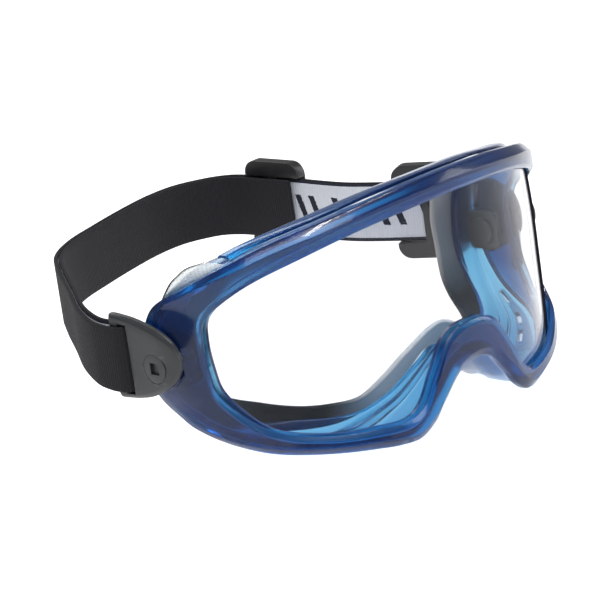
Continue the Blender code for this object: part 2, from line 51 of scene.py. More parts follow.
# Each station: rim's outer edge and lens window as (length along the lens, height), then the face
# flange and the mouth of the seal as (x, y, z), then how much of the way to the mouth the flange
# reaches; from the brow round the temple to the nose.
STATIONS = (
    ((0, 38.6), (0, 31.8), (0, 31, 30), (0, 36, 20.5), 0.45),
    ((20, 37.6), (19, 30.8), (18, 32, 30), (14, 37, 20.5), 0.45),
    ((38, 34.9), (36, 28.4), (36, 37, 28), (28, 42, 19.5), 0.45),
    ((59.5, 30.5), (54, 24), (51, 43, 25.2), (38, 48, 18), 0.45),
    ((75, 25.5), (67.6, 19.8), (59.6, 47.8, 23), (45, 53, 15), 0.45),
    ((89, 19.4), (77.2, 14.8), (64.2, 52, 19.4), (49, 57, 10), 0.45),
    ((102, 12.4), (83.8, 9.4), (68.4, 58.8, 12), (51.3, 60, 3), 0.5),
    ((105, 0), (85.2, 2.5), (70, 62, -2), (52.3, 60.4, -5), 0.55),
    ((102.5, -12), (84.4, -5.5), (68.8, 60.7, -12.2), (52.8, 60.5, -12), 0.5),
    ((96.2, -20.5), (82.5, -12.3), (66.3, 57.1, -19.7), (53, 60, -16.6), 0.37),
    ((88.7, -24.9), (76.5, -18.3), (63.3, 52.4, -26.2), (51.8, 57, -20.6), 0.28),
    ((78, -28.6), (69.7, -23.4), (59, 48.2, -30.8), (49.2, 52.5, -22.6), 0.32),
    ((66.4, -32), (61.5, -26.8), (52.8, 44.6, -33.6), (46.2, 47.6, -23.8), 0.5),
    ((52.6, -34.4), (49, -29.2), (45, 40.6, -36.5), (42.6, 41.6, -25.2), 0.64),
    ((38.2, -36), (37.5, -29.8), (37, 36.6, -37.6), (37.6, 35.6, -26.4), 0.68),
    ((26, -36.8), (27.5, -29.9), (28.9, 32, -36.6), (31.4, 30.3, -26.8), 0.58),
    ((18.8, -33.1), (21.7, -26.5), (21.3, 27.4, -33), (24.7, 25.4, -26), 0.42),
    ((14, -27.6), (16.2, -17.8), (14.8, 23, -29), (18.7, 21.3, -21.4), 0.34),
    ((7.2, -20.8), (9.6, -8.8), (7, 19.6, -22.6), (12.2, 16.6, -14.8), 0.3),
    ((0, -18.6), (0, -6.6), (0, 20, -19.4), (0, 14, -9.2), 0.28),
)
RIM_PROUD, RIM_PROUD_TEMPLE, RIM_BACK = 2.2, 0.7, 4.4
WALL = 2.0
LENS_FRONT, LENS_THICK, LENS_INSERT, GAP = 0.6, 1.9, 2.4, 0.3
SEAL_THICK, SEAL_GAP, SEAL_ROOT = 2.6, 0.7, 0.55
PIVOT_Y, PIVOT_Z = 51.5, -2.8
BOSS_FACE, BOSS_R, BOSS_BACK, BLOCK_FACE = 76.8, 7.4, 66.4, 76.2
CLIP_IN, CLIP_OUT = 77.2, 79.8
SLOT_FRONT, BAR_FRONT, BAR_BACK = 61.4, 65.2, 69.2
CLIP_NOSE = (                  # the clip's edge in (y, z), from above the bar round the nose to below it
    (66.6, 12.3), (60, 11.6), (54.5, 10.4), (48.8, 8.6), (44.2, 5.8), (41.6, 2.2), (41.4, -1.8),
    (43.6, -5.4), (48.2, -9), (54.2, -11.7), (60, -13), (66.6, -13.6),
)
STUD_R, HEAD_R, SOCKET_HALF, PLATE_HALF = 2.9, 4.4, 1.75, 6.2
WEB_WIDTH, WEB_THICK, WEB_TURN_R, WEB_Z = 20.0, 1.2, 2.3, -1.2
SLIDER_LENGTH, SLIDER_HEIGHT, SLIDER_CORNER = 23.0, 31.2, 4.4
STRAP_ROUTE = (
    (-80.8, 69.2, -1.2), (-79.4, 77, -0.6), (-74, 88.5, 0.8), (-64.5, 102.5, 2), (-54, 118, 2.8),
    (-42.5, 132.5, 3), (-27, 143.5, 2.4), (-10, 151, 1.8), (8, 157.3, 1.5), (24, 162, 1.1),
    (37, 163.3, 0.8), (47.5, 160.9, 0.4), (54.6, 156.8, 0.1), (57.6, 150.6, 0), (58.5, 139, 0),
    (59.3, 128, 0), (60.1, 117, -0.2), (62, 107.5, -0.6), (66, 98.5, -1), (70.1, 90, -1.2),
    (74.1, 81.5, -1.3), (78.1, 73.2, -1.3), (80.8, 69.2, -1.2),
)

# ---- fineness of the visible meshes -------------------------------------------------------------
FINE = 12                       # sections to each station (a multiple of 3, so that slots match)
FILLET_STEPS = 3


# ---- small helpers ------------------------------------------------------------------------------
MM = 0.001


def place(point):
    """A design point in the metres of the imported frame."""
    x, y, z = point
    return Vector((x, y - MIDDLE_Y, z - BASE_Z)) * MM


def smoothstep(edge0, edge1, x):
    t = np.clip((x - edge0) / (edge1 - edge0), 0, 1)
    return t * t * (3 - 2 * t)


def new_object(name, points, faces, mats=(), face_mats=None, uv=None):
    """Mesh object from design points, normals facing out; uv holds a pair for each point."""
    mesh = bpy.data.meshes.new(name)
    mesh.from_pydata([place(p) for p in points], [], faces)
    for mat in mats:
        mesh.materials.append(mat)
    if face_mats is not None:
        mesh.polygons.foreach_set("material_index", face_mats)
    if uv is not None:
        layer = mesh.uv_layers.new(name="UVMap")
        loops = [uv[v] for poly in mesh.polygons for v in poly.vertices]
        layer.data.foreach_set("uv", np.array(loops, float).ravel())
    bm = bmesh.new()
    bm.from_mesh(mesh)
    bmesh.ops.recalc_face_normals(bm, faces=bm.faces)
    bm.to_mesh(mesh)
    bm.free()
    obj = bpy.data.objects.new(name, mesh)
    bpy.context.scene.collection.objects.link(obj)
    return obj


def object_from(name, bm):
    """Turns a bmesh into an object of the scene."""
    mesh = bpy.data.meshes.new(name)
    bm.to_mesh(mesh)
    bm.free()
    obj = bpy.data.objects.new(name, mesh)
    bpy.context.scene.collection.objects.link(obj)
    return obj


def smooth(obj, degrees):
    """Smooth shading, with edges sharper than the given angle left sharp."""
    obj.data.shade_smooth()
    obj.data.set_sharp_from_angle(angle=math.radians(degrees))


def one_material(obj, mat):
    obj.data.materials.clear()
    obj.data.materials.append(mat)


def apply_modifiers(obj):
    """Replaces the object's mesh by what its modifiers make of it."""
    graph = bpy.context.evaluated_depsgraph_get()
    mesh = bpy.data.meshes.new_from_object(obj.evaluated_get(graph))
    obj.modifiers.clear()
    old = obj.data
    obj.data = mesh
    bpy.data.meshes.remove(old)


def strip_faces(rows, per_row):
    """Faces of a closed strip: quads between neighbouring rows of points, and both ends."""
    faces = []
    for k in range(rows - 1):
        for j in range(per_row):
            a, b = k * per_row, (k + 1) * per_row
            faces.append((a + j, b + j, b + (j + 1) % per_row, a + (j + 1) % per_row))
    last = (rows - 1) * per_row
    return faces + [tuple(range(per_row)), tuple(range(last, last + per_row))]


def boolean(obj, other, operation="DIFFERENCE", solver="MANIFOLD"):
    """Applies one boolean at once and removes the tool."""
    modifier = obj.modifiers.new("Boolean", "BOOLEAN")
    modifier.operation = operation
    modifier.object = other
    modifier.solver = solver
    apply_modifiers(obj)
    bpy.data.objects.remove(other, do_unlink=True)


def bevel_edges(obj, width, segments, degrees):
    bevel = obj.modifiers.new("Bevel", "BEVEL")
    bevel.width = width * MM
    bevel.segments = segments
    bevel.limit_method = "ANGLE"
    bevel.angle_limit = math.radians(degrees)
    apply_modifiers(obj)


def rounded(points, radii, steps=FILLET_STEPS):
    """Closed polygon with its corners rounded; the number of points never depends on the shape."""
    out, count = [], len(points)
    for i, (p, r) in enumerate(zip(points, radii)):
        if r == 0:
            out.append(p)
            continue
        before, after = points[i - 1] - p, points[(i + 1) % count] - p
        lb, la = np.linalg.norm(before), np.linalg.norm(after)
        reach = min(r, lb * 0.45, la * 0.45)
        a, b = p + before * (reach / max(lb, 1e-6)), p + after * (reach / max(la, 1e-6))
        for k in range(steps + 1):
            t = k / steps
            out.append(a * (1 - t) ** 2 + 2 * p * t * (1 - t) + b * t * t)
    return out


def ride(obj, body, nodes=()):
    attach(obj, body)
    if nodes:
        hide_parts(*nodes)
    return obj


# ---- curves of the design -----------------------------------------------------------------------
def plan(s):
    """Point and outward normal of the lens curve, seen from above, s along it from the centre."""
    left, angle, x, y = abs(s), 0.0, 0.0, 0.0
    for length, radius in PLAN_ARCS:
        turn = min(left, length) / radius
        x += radius * (math.sin(angle + turn) - math.sin(angle))
        y += radius * (math.cos(angle) - math.cos(angle + turn))
        angle += turn
        left -= length
        if left <= 0:
            break
    x += max(left, 0) * math.cos(angle)
    y += max(left, 0) * math.sin(angle)
    side = -1 if s < 0 else 1
    return side * x, y, side * math.sin(angle), -math.cos(angle)


def skin(s, z, h):
    """A point h proud of the lens curve."""
    x, y, nx, ny = plan(s)
    return np.array((x + h * nx, y + h * ny + LEAN * max(z, 0) ** 2, z))


def station_rows():
    half = [[*outer, *window, *flange, *mouth, share] for outer, window, flange, mouth, share in STATIONS]
    flip = np.array((-1, 1, -1, 1, -1, 1, 1, -1, 1, 1, 1))
    rows = np.array(half, float)
    return np.vstack((rows, rows[-2:0:-1] * flip))


ROWS = station_rows()
COUNT = len(ROWS)


def row_at(u):
    """Catmull-Rom interpolation of the stations; u counts stations from the brow."""
    i, t = int(math.floor(u)), u - math.floor(u)
    p0, p1, p2, p3 = (ROWS[(i + k) % COUNT] for k in (-1, 0, 1, 2))
    return 0.5 * (2 * p1 + (p2 - p0) * t + (2 * p0 - 5 * p1 + 4 * p2 - p3) * t ** 2
                  + (3 * p1 - p0 - 3 * p2 + p3) * t ** 3)


class Section:
    """Cross-section of the goggles at one station."""

    def __init__(self, u):
        row = row_at(u)
        self.outer, self.window = row[0:2], row[2:4]
        self.flange, self.mouth, self.share = row[4:7], row[7:10], row[10]
        self.width = math.hypot(*(self.outer - self.window))
        wide = min(max((self.width - 9) / 9, 0), 1)             # 1 on the broad rim at the temple
        self.proud = RIM_PROUD + (RIM_PROUD_TEMPLE - RIM_PROUD) * wide
        self.front = self.rim(self.width - 1.8, -RIM_BACK)
        self.back = self.flange - (0, WALL, 0)
        self.depth = np.linalg.norm(self.back - self.front)
        along = row_at(u + 0.1)[4:7] - row_at(u - 0.1)[4:7]
        out = np.cross(along, (0, 1, 0))
        self.out = out / np.linalg.norm(out)
        side = abs((u + COUNT / 2) % COUNT - COUNT / 2)         # stations from the brow, either way
        self.vent = smoothstep(3.7, 4.2, side) * (1 - smoothstep(5.5, 6.0, side))   # 1 at the windows

    def rim(self, d, h):
        """A point d outwards from the window's edge, h proud of the lens curve."""
        s, z = self.window + (self.outer - self.window) * (d / self.width)
        return skin(s, z, h)

    def face(self, d, h):
        """The same on the outer surface, which swells out round the pivot."""
        point = self.rim(d, h)
        away = math.hypot(point[1] - PIVOT_Y, point[2] - PIVOT_Z)
        swell = smoothstep(18, 7.5, away) * smoothstep(-3.6, -1.2, h) * smoothstep(0, 4.5, d)
        point[0] += (math.copysign(BLOCK_FACE, point[0]) - point[0]) * swell
        return point

    def wall(self, v, h=0.0):
        """A point on the side wall, v from rim to flange, h proud of it."""
        return self.front + (self.back - self.front) * v + self.out * h

    def lip(self, share):
        return self.flange + (self.mouth - self.flange) * share


def on_base(point):
    return np.array((point[0], point[1], max(point[2], BASE_Z)))


def ring_positions(per_station=FINE):
    return [k / per_station for k in range(COUNT * per_station)]


# ---- materials ----------------------------------------------------------------------------------
class Nodes:
    """Short way to write a material's node tree."""

    def __init__(self, name):
        self.mat = bpy.data.materials.new(name)
        self.mat.use_nodes = True
        self.tree = self.mat.node_tree
        self.tree.nodes.clear()
        self.out = self.tree.nodes.new("ShaderNodeOutputMaterial")

    def node(self, kind, props=None, **inputs):
        n = self.tree.nodes.new(kind)
        for key, value in (props or {}).items():
            setattr(n, key, value)
        for key, value in inputs.items():
            self.set(n, key.replace("_", " "), value)
        return n

    def set(self, n, key, value):
        socket = n.inputs[int(key)] if key.isdigit() else n.inputs[key]
        if isinstance(value, bpy.types.NodeSocket):
            self.tree.links.new(value, socket)
        else:
            socket.default_value = value

    def math(self, operation, a, b=0.0, c=None):
        n = self.node("ShaderNodeMath", {"operation": operation})
        for i, value in enumerate((a, b) if c is None else (a, b, c)):
            self.set(n, str(i), value)
        return n.outputs[0]

    def coords(self, kind="Object"):
        return self.node("ShaderNodeTexCoord").outputs[kind]

    def noise(self, scale, detail=3.0, roughness=0.5):
        return self.node("ShaderNodeTexNoise", Vector=self.coords(), Scale=scale, Detail=detail,
                         Roughness=roughness).outputs["Fac"]

    def grey(self, fac, stops):
        """A value that runs straight between two stops, (position, value) each."""
        n = self.node("ShaderNodeValToRGB", Fac=fac)
        for element, (position, value) in zip(n.color_ramp.elements, stops):
            element.position = position
            element.color = (value, value, value, 1)
        return n.outputs["Color"]

    def smooth_range(self, value, start, end):
        """Eases from 0 at start to 1 at end."""
        n = self.node("ShaderNodeMapRange", {"interpolation_type": "SMOOTHSTEP"}, Value=value,
                      From_Min=start, From_Max=end)
        return n.outputs[0]

    def mix(self, fac, a, b):
        """Mix of two colours."""
        n = self.node("ShaderNodeMix", {"data_type": "RGBA"})
        self.set(n, "0", fac)
        for key, value in (("6", a), ("7", b)):
            if not isinstance(value, bpy.types.NodeSocket):
                value = (*value, 1)
            self.set(n, key, value)
        return n.outputs[2]

    def bump(self, height, distance, strength):
        return self.node("ShaderNodeBump", Strength=strength, Distance=distance,
                         Height=height).outputs["Normal"]

    def principled(self, **inputs):
        inputs = {key: (*value, 1) if isinstance(value, tuple) else value for key, value in inputs.items()}
        return self.node("ShaderNodeBsdfPrincipled", **inputs).outputs["BSDF"]

    def clear(self, colour):
        return self.node("ShaderNodeBsdfTransparent", Color=(*colour, 1)).outputs[0]

    def blend(self, fac, a, b):
        """Mix of two shaders."""
        n = self.node("ShaderNodeMixShader")
        for key, value in (("0", fac), ("1", a), ("2", b)):
            self.set(n, key, value)
        return n.outputs[0]

    def surface(self, shader):
        self.tree.links.new(shader, self.out.inputs["Surface"])
        return self.mat

    def lamps_pass(self, shader, tint):
        """The shader, but lamps shine through it, tinted."""
        shadow = self.node("ShaderNodeLightPath").outputs["Is Shadow Ray"]
        return self.blend(shadow, shader, self.clear(tint))


def blue_material(name, density):
    """Translucent soft blue plastic; density says how fast its colour deepens with thickness."""
    m = Nodes(name)
    ripple = m.noise(140, 2.0)
    swirl = m.noise(45, 3.0, 0.55)
    rough = m.grey(swirl, ((0.3, 0.15), (0.75, 0.26)))
    normal = m.bump(ripple, 0.0001, 0.35)
    glassy = m.principled(Base_Color=(0.67, 0.84, 0.935), Transmission_Weight=1.0, IOR=1.34,
                          Roughness=rough, Normal=normal, Coat_Weight=0.3, Coat_Roughness=0.03)
    milky = m.node("ShaderNodeBsdfDiffuse", Color=(0.022, 0.085, 0.34, 1)).outputs[0]
    m.surface(m.lamps_pass(m.blend(0.1, glassy, milky), (0.92, 0.95, 0.98)))
    volume = m.node("ShaderNodeVolumeAbsorption", Color=(0.15, 0.65, 0.81, 1), Density=density)
    m.tree.links.new(volume.outputs[0], m.out.inputs["Volume"])
    return m.mat


def lens_material():
    """Clear pane, faintly smudged, with a painted dark reflection where it is seen edge on."""
    m = Nodes("lens_clear")
    smudge = m.noise(60, 4.0, 0.6)
    rough = m.grey(smudge, ((0.45, 0.0), (0.8, 0.03)))
    pane = m.principled(Base_Color=(0.8, 0.8, 0.83), Transmission_Weight=1.0, IOR=1.19, Roughness=rough)
    # painted dark reflection: a near black layer that stands in for the dark reflections at grazing angles
    edge = m.principled(Base_Color=(0.012, 0.012, 0.018), Roughness=0.6, Specular_IOR_Level=0.0)
    facing = m.node("ShaderNodeLayerWeight", Blend=0.5).outputs["Facing"]
    # the painted dark reflection covers the pane where it is seen edge on
    both = m.blend(m.grey(facing, ((0.84, 0.0), (0.88, 1.0))), pane, edge)
    return m.surface(m.lamps_pass(both, (0.95, 0.955, 0.98)))


def rubber_material():
    """Soft grey lip, with painted shade, near black towards the bottom, and a painted highlight, pale over
    the nose, as in the photo.
    """
    m = Nodes("seal_rubber")
    grain = m.noise(2600, 2.0)
    cloud = m.noise(70, 3.0)
    at = m.node("ShaderNodeSeparateXYZ", Vector=m.coords())
    across = m.math("ABSOLUTE", at.outputs[0])
    # painted highlight: paler towards the nose, where the light falls on the seal
    nose = m.smooth_range(across, 0.034, 0.017)
    # painted shade: near black towards the bottom, where the seal lies in shade
    low = m.smooth_range(at.outputs[2], 0.03, 0.013)
    sides = m.mix(cloud, (0.30, 0.29, 0.275), (0.36, 0.348, 0.33))
    # the painted shade and the painted highlight are mixed over the seal's own grey
    colour = m.mix(nose, m.mix(low, sides, (0.01, 0.01, 0.01)), (0.66, 0.63, 0.58))
    rough = m.grey(cloud, ((0.3, 0.5), (0.7, 0.62)))
    return m.surface(m.principled(Base_Color=colour, Roughness=rough, Normal=m.bump(grain, 0.00003, 0.3),
                                  Sheen_Weight=0.05, Sheen_Roughness=0.5, Specular_IOR_Level=0.15))


def plastic_material(name, dark, light, roughness):
    """Moulded plastic with fine spark grain, faint flow clouds and paler convex edges."""
    m = Nodes(name)
    grain = m.noise(3200, 2.0)
    cloud = m.noise(90, 4.0, 0.6)
    pointiness = m.node("ShaderNodeNewGeometry").outputs["Pointiness"]
    # paler along convex edges, found by pointiness
    pale_edge_mask = m.grey(pointiness, ((0.52, 0.0), (0.6, 1.0)))
    base = m.mix(cloud, dark, light)
    edge = tuple(min(c * 2.1, 1) for c in light)
    colour = m.mix(m.math("MULTIPLY", pale_edge_mask, 0.45), base, edge)
    rough = m.grey(cloud, ((0.3, roughness - 0.05), (0.7, roughness + 0.07)))
    return m.surface(m.principled(Base_Color=colour, Roughness=rough, Normal=m.bump(grain, 0.00003, 0.6),
                                  Specular_IOR_Level=0.4))


def screen_material():
    """Whitish vent film with a lattice of small holes; UV in millimetres."""
    m = Nodes("screen_film")
    uv = m.node("ShaderNodeSeparateXYZ", Vector=m.coords("UV"))
    pitch = 1.1
    u, v = (m.math("DIVIDE", uv.outputs[i], pitch) for i in (0, 1))
    shift = m.math("MULTIPLY", m.math("MODULO", m.math("FLOOR", v), 2.0), 0.5)
    fx = m.math("SUBTRACT", m.math("FRACT", m.math("ADD", u, shift)), 0.5)
    fy = m.math("SUBTRACT", m.math("FRACT", v), 0.5)
    radius = m.math("SQRT", m.math("ADD", m.math("MULTIPLY", fx, fx), m.math("MULTIPLY", fy, fy)))
    hole = m.grey(radius, ((0.17, 1.0), (0.24, 0.0)))
    film = m.principled(Base_Color=(0.80, 0.82, 0.82), Roughness=0.45, Transmission_Weight=0.35, IOR=1.2,
                        Normal=m.bump(hole, 0.0001, 0.6))
    see_through = m.math("ADD", m.math("MULTIPLY", hole, 0.35), 0.42)
    return m.surface(m.blend(see_through, film, m.clear((0.93, 0.95, 0.95))))


def webbing_material(name, white):
    """Elastic webbing, black or pale with black edges and a woven motif.  UV: u along the strap and v
    across it, both in millimetres."""
    m = Nodes(name)
    uv = m.node("ShaderNodeSeparateXYZ", Vector=m.coords("UV"))
    u, v = uv.outputs[0], uv.outputs[1]
    fuzz = m.noise(1500, 3.0, 0.6)
    rib_pitch, cord_pitch, edge_width = 0.95, 0.62, 1.35
    rib = m.math("SINE", m.math("MULTIPLY", u, 2 * math.pi / rib_pitch))
    cord = m.math("SINE", m.math("MULTIPLY", v, 2 * math.pi / cord_pitch))
    weave = m.math("MULTIPLY_ADD", m.math("MULTIPLY", rib, cord), 0.35, m.math("MULTIPLY", rib, 0.5))
    height = m.math("MULTIPLY_ADD", fuzz, 0.5, weave)
    # painted shade: the weave is darker where its bump is low, in the hollows between ribs and cords
    shade = m.grey(m.math("MULTIPLY_ADD", weave, 0.5, 0.5), ((0.0, 0.55), (1.0, 1.0)))
    black = m.mix(fuzz, (0.009, 0.009, 0.011), (0.022, 0.022, 0.026))
    if not white:
        # the painted shade of the weave's hollows darkens the black side
        colour = m.mix(shade, (0.006, 0.006, 0.008), black)
    else:
        edge = m.math("GREATER_THAN", m.math("ABSOLUTE", v), WEB_WIDTH / 2 - edge_width)
        mark = strap_pattern(m, u, v, fuzz)
        pale = m.mix(fuzz, (0.50, 0.52, 0.57), (0.66, 0.68, 0.73))
        # the painted shade of the weave's hollows darkens the pale side too
        pale = m.mix(shade, (0.40, 0.42, 0.47), pale)
        colour = m.mix(m.math("MAXIMUM", edge, mark), pale, (0.018, 0.020, 0.032))
    return m.surface(m.principled(Base_Color=colour, Roughness=0.9, Normal=m.bump(height, 0.00016, 0.6),
                                  Sheen_Weight=0.03, Sheen_Roughness=0.4, Specular_IOR_Level=0.2))


def strap_pattern(m, u, v, fuzz):
    """Woven-in motif: a plain repeat of bold slanting bars in pairs."""
    def between(value, low, high):
        return m.math("MULTIPLY", m.math("GREATER_THAN", value, low), m.math("LESS_THAN", value, high))

    slope, half_repeat = 0.32, 7.5
    wobble = m.math("MULTIPLY", m.math("SUBTRACT", fuzz, 0.5), 0.9)
    slant = m.math("MULTIPLY_ADD", v, slope, m.math("ADD", u, wobble))
    bar = between(m.math("PINGPONG", slant, half_repeat), 1.6, 4.0)
    return m.math("MULTIPLY", bar, between(m.math("ADD", v, wobble), -4.4, 4.6))


# ---- lofted pieces ------------------------------------------------------------------------------
CROWN_POINTS = 13               # points over the rim's crown in frame_profile
# Numbers of frame_profile's corners that bound the openings, outside the wall and then inside it.
OUTER_LOW, BACK_CORNER, INNER_HIGH, INNER_LOW = (CROWN_POINTS + k for k in (5, 11, 20, 21))
WINDOW_THIRDS = range(13, 17)   # thirds of a station, counted from the brow
SLOT_THIRDS = (1, 4, 7, 10, 29, 30, 33, 34, 36, 37)


def ring_loft(sections, holes=None):
    """Closed loft through equal sections, with optional windows through a wall.

    holes maps the number of a section to the pairs of profile cells, outer and inner, that are
    open between it and the next section.
    """
    n, m = len(sections), len(sections[0])
    points = [p for section in sections for p in section]
    holes = holes or {}

    def vertex(k, j):
        return (k % n) * m + j % m

    faces = []
    for k in range(n):
        closed = set(range(m)) - {j for pair in holes.get(k, ()) for j in pair}
        faces += [(vertex(k, j), vertex(k + 1, j), vertex(k + 1, j + 1), vertex(k, j + 1))
                  for j in closed]
    for k, pairs in holes.items():
        seams = [seam for a, b in pairs for seam in ((a, b + 1), (a + 1, b))]
        for low, high in seams:
            if seams.count((low, high)) == 1:
                faces.append((vertex(k, low), vertex(k + 1, low), vertex(k + 1, high), vertex(k, high)))
        for side, beyond in ((k, k - 1), (k + 1, k + 1)):
            for a, b in pairs:
                if (a, b) not in holes.get(beyond % n, ()):
                    faces.append(tuple(vertex(side, j) for j in (a, a + 1, b, b + 1)))
    return points, faces


def frame_profile(section):
    """The frame's section with rounded corners, from the lens's edge over the crown and the side wall
    to the flange and back inside; returns the points and where each corner starts."""
    width, rim, wall = section.width, section.rim, section.wall
    inner = max(width - 4.2, 3.4)       # where the back of the rim meets the inside of the wall
    lens_back = -(LENS_FRONT + LENS_THICK + GAP)
    groove = LENS_INSERT + GAP
    lip = section.lip(section.share)
    down = np.array((0, WALL, 0))
    swell, step = min(0.3, section.depth * 0.03), min(1.0, section.depth * 0.04)
    low, high = 0.26 - 0.14 * section.vent, 0.37 + 0.05 * section.vent
    reach = np.linalg.norm(section.mouth - section.flange)
    inward = section.lip(min(section.share * 0.6, WALL * 1.1 / reach))
    face = section.face
    crown = [(face(1.3 + (width - 3.9) * t, section.proud * (0.8 + 0.2 * t)), 0)
             for t in np.linspace(0, 1, CROWN_POINTS)]
    crown[0], crown[-1] = (crown[0][0], 0.5), (crown[-1][0], 0.7)
    corners = (
        (face(0, 0.5), 0.35), *crown, (face(width, 0.2), 0.6),
        (face(width, -2.0), 0.6), (face(width - 1.4, -3.4), 0.5), (wall(0), 0.4),
        (wall(low, swell), 0), (wall(high, swell), 0),
        (wall(0.56, swell), 0.4), (wall(0.58, -step * 0.5), 0.3), (wall(0.76, -step * 0.5), 0.3),
        (wall(0.78, -step), 0.3), (section.back, 0.5), (section.flange, 0.5), (lip, 0.5), (lip - down, 0.6),
        (inward - down, 0.8), (wall(0.80, -step - WALL), 0.3), (wall(0.78, -step * 0.5 - WALL), 0.3),
        (wall(0.60, -step * 0.5 - WALL), 0.3), (wall(0.58, swell - WALL), 0.3),
        (wall(high, swell - WALL), 0), (wall(low, swell - WALL), 0),
        (rim(inner, -RIM_BACK), 0.5), (rim(0.2, -RIM_BACK), 0.4), (rim(0.2, lens_back), 0),
        (rim(groove, lens_back), 0), (rim(groove, GAP - LENS_FRONT), 0), (rim(0.2, GAP - LENS_FRONT), 0),
    )
    points = rounded([p for p, _ in corners], [r for _, r in corners])
    at = np.cumsum([0] + [1 if r == 0 else FILLET_STEPS + 1 for _, r in corners])
    return [on_base(p) for p in points], [int(i) for i in at]


def wall_openings(at):
    """Open cells of the wall by ring: screened windows beside the brow, and slots under the top cover
    and in the lower wall.  at tells where each of frame_profile's corners starts."""
    outside, back, inside = at[OUTER_LOW], at[BACK_CORNER], at[INNER_LOW]
    narrow = [(outside, at[INNER_HIGH])]
    wide = [(outside + i, inside - 1 - i) for i in range(back - outside)]
    thirds = {k: wide for k in WINDOW_THIRDS}
    thirds.update({k: narrow for k in SLOT_THIRDS})
    thirds.update({COUNT * 3 - 1 - k: cells for k, cells in list(thirds.items())})
    per = FINE // 3
    return {k * per + i: cells for k, cells in thirds.items() for i in range(per)}


def tube(name, radius, x_from, x_to, side, bevel=0.0):
    """A cylinder along X on the pivots' axis."""
    bm = bmesh.new()
    bmesh.ops.create_cone(bm, cap_ends=True, segments=64, radius1=radius * MM,
                          radius2=radius * MM, depth=(x_to - x_from) * MM)
    if bevel:
        rims = [e for e in bm.edges if abs(e.verts[0].co.z - e.verts[1].co.z) < 1e-6]
        bmesh.ops.bevel(bm, geom=rims, offset=bevel * MM, segments=3, profile=0.5, affect="EDGES")
    bmesh.ops.rotate(bm, verts=bm.verts, matrix=Matrix.Rotation(math.pi / 2, 3, "Y"))
    bmesh.ops.translate(bm, verts=bm.verts, vec=place((side * (x_from + x_to) / 2, PIVOT_Y, PIVOT_Z)))
    return object_from(name, bm)


def block(name, low, high):
    """A box between two design points."""
    corners = [(x, y, z) for x in (low[0], high[0]) for y in (low[1], high[1]) for z in (low[2], high[2])]
    faces = [(0, 1, 3, 2), (4, 6, 7, 5), (0, 4, 5, 1), (2, 3, 7, 6), (0, 2, 6, 4), (1, 5, 7, 3)]
    return new_object(name, corners, faces)


def pivot_block(name, x_from, x_to, half):
    """A square block along X on the pivots' axis."""
    low, high = sorted((x_from, x_to))
    return block(name, (low, PIVOT_Y - half, PIVOT_Z - half), (high, PIVOT_Y + half, PIVOT_Z + half))


def make_frame(mat):
    """The ring with its openings, a round boss at each temple and the bores for the studs."""
    profiles = [frame_profile(Section(u)) for u in ring_positions()]
    points, faces = ring_loft([p for p, _ in profiles], wall_openings(profiles[0][1]))
    obj = new_object("goggle_body", points, faces, [mat])
    for side in (-1, 1):
        boolean(obj, tube("boss", BOSS_R, BOSS_BACK, BOSS_FACE, side, bevel=0.5), "UNION", "EXACT")
        boolean(obj, tube("bore", STUD_R + GAP, BOSS_BACK - 6.4, BOSS_FACE + 1, side), solver="EXACT")
    one_material(obj, mat)
    smooth(obj, 32)
    return ride(obj, "goggle_frame", ["frame_shell"])


def make_lens(mat):
    """The pane, cut flat from its outline in strips, then bent onto the lens curve."""
    outline = []
    for u in ring_positions(8):
        section = Section(u)
        outline.append(section.window + (section.outer - section.window) * (LENS_INSERT / section.width))
    bm = bmesh.new()
    bm.faces.new([bm.verts.new((s, 0, z)) for s, z in outline])
    slices = [((s, 0, 0), (1, 0, 0)) for s in np.arange(-86, 86.1, 2.0)]        # every 2 mm along it
    slices += [((0, 0, z), (0, 0, 1)) for z in np.arange(-30, 33.1, 3.0)]       # and every 3 mm up it
    for point, normal in slices:
        geometry = bm.verts[:] + bm.edges[:] + bm.faces[:]
        bmesh.ops.bisect_plane(bm, geom=geometry, dist=1e-5, plane_co=point, plane_no=normal)
    bm.verts.index_update()
    flat = [(v.co.x, v.co.z) for v in bm.verts]
    cells = [[v.index for v in f.verts] for f in bm.faces]
    rim = [tuple(v.index for v in e.verts) for e in bm.edges if e.is_boundary]
    bm.free()
    count = len(flat)
    points = [skin(s, z, -LENS_FRONT) for s, z in flat]
    points += [skin(s, z, -LENS_FRONT - LENS_THICK) for s, z in flat]
    faces = cells + [[count + i for i in reversed(cell)] for cell in cells]
    faces += [(a, b, count + b, count + a) for a, b in rim]
    obj = new_object("lens_pane", points, faces, [mat])
    smooth(obj, 40)
    return ride(obj, "goggle_frame", ["lens"])


def make_seal(mat):
    """Soft lip from behind the flange to the mouth, with a rolled edge."""
    back = np.array((0, 1, 0))
    sections = []
    for u in ring_positions():
        section = Section(u)
        mouth, share = section.mouth, section.share
        start = section.lip(share * SEAL_ROOT) + back * SEAL_GAP
        corners = (
            (start, 0.5), (start + back * SEAL_THICK, 1.0),
            (section.lip(share + 0.1) + back * (SEAL_THICK + 0.9), 2.5), (mouth + back * 1.4, 1.1),
            (mouth - section.out * 0.8, 0.7), (mouth - back * 0.8, 0.9),
            (section.lip(share + 0.17) + back * 0.5, 1.5), (section.lip(share) + back * SEAL_GAP, 0.8),
        )
        points = rounded([p for p, _ in corners], [r for _, r in corners], 4)
        sections.append([on_base(p) for p in points])
    obj = new_object("face_cushion_lip", *ring_loft(sections), [mat])
    smooth(obj, 60)
    return ride(obj, "goggle_frame", ["face_seal"])


def hood(t):
    """How far the side vent's film stands out, from one end (0) to the other (1)."""
    return smoothstep(0, 0.42, t) * smoothstep(1, 0.55, t)


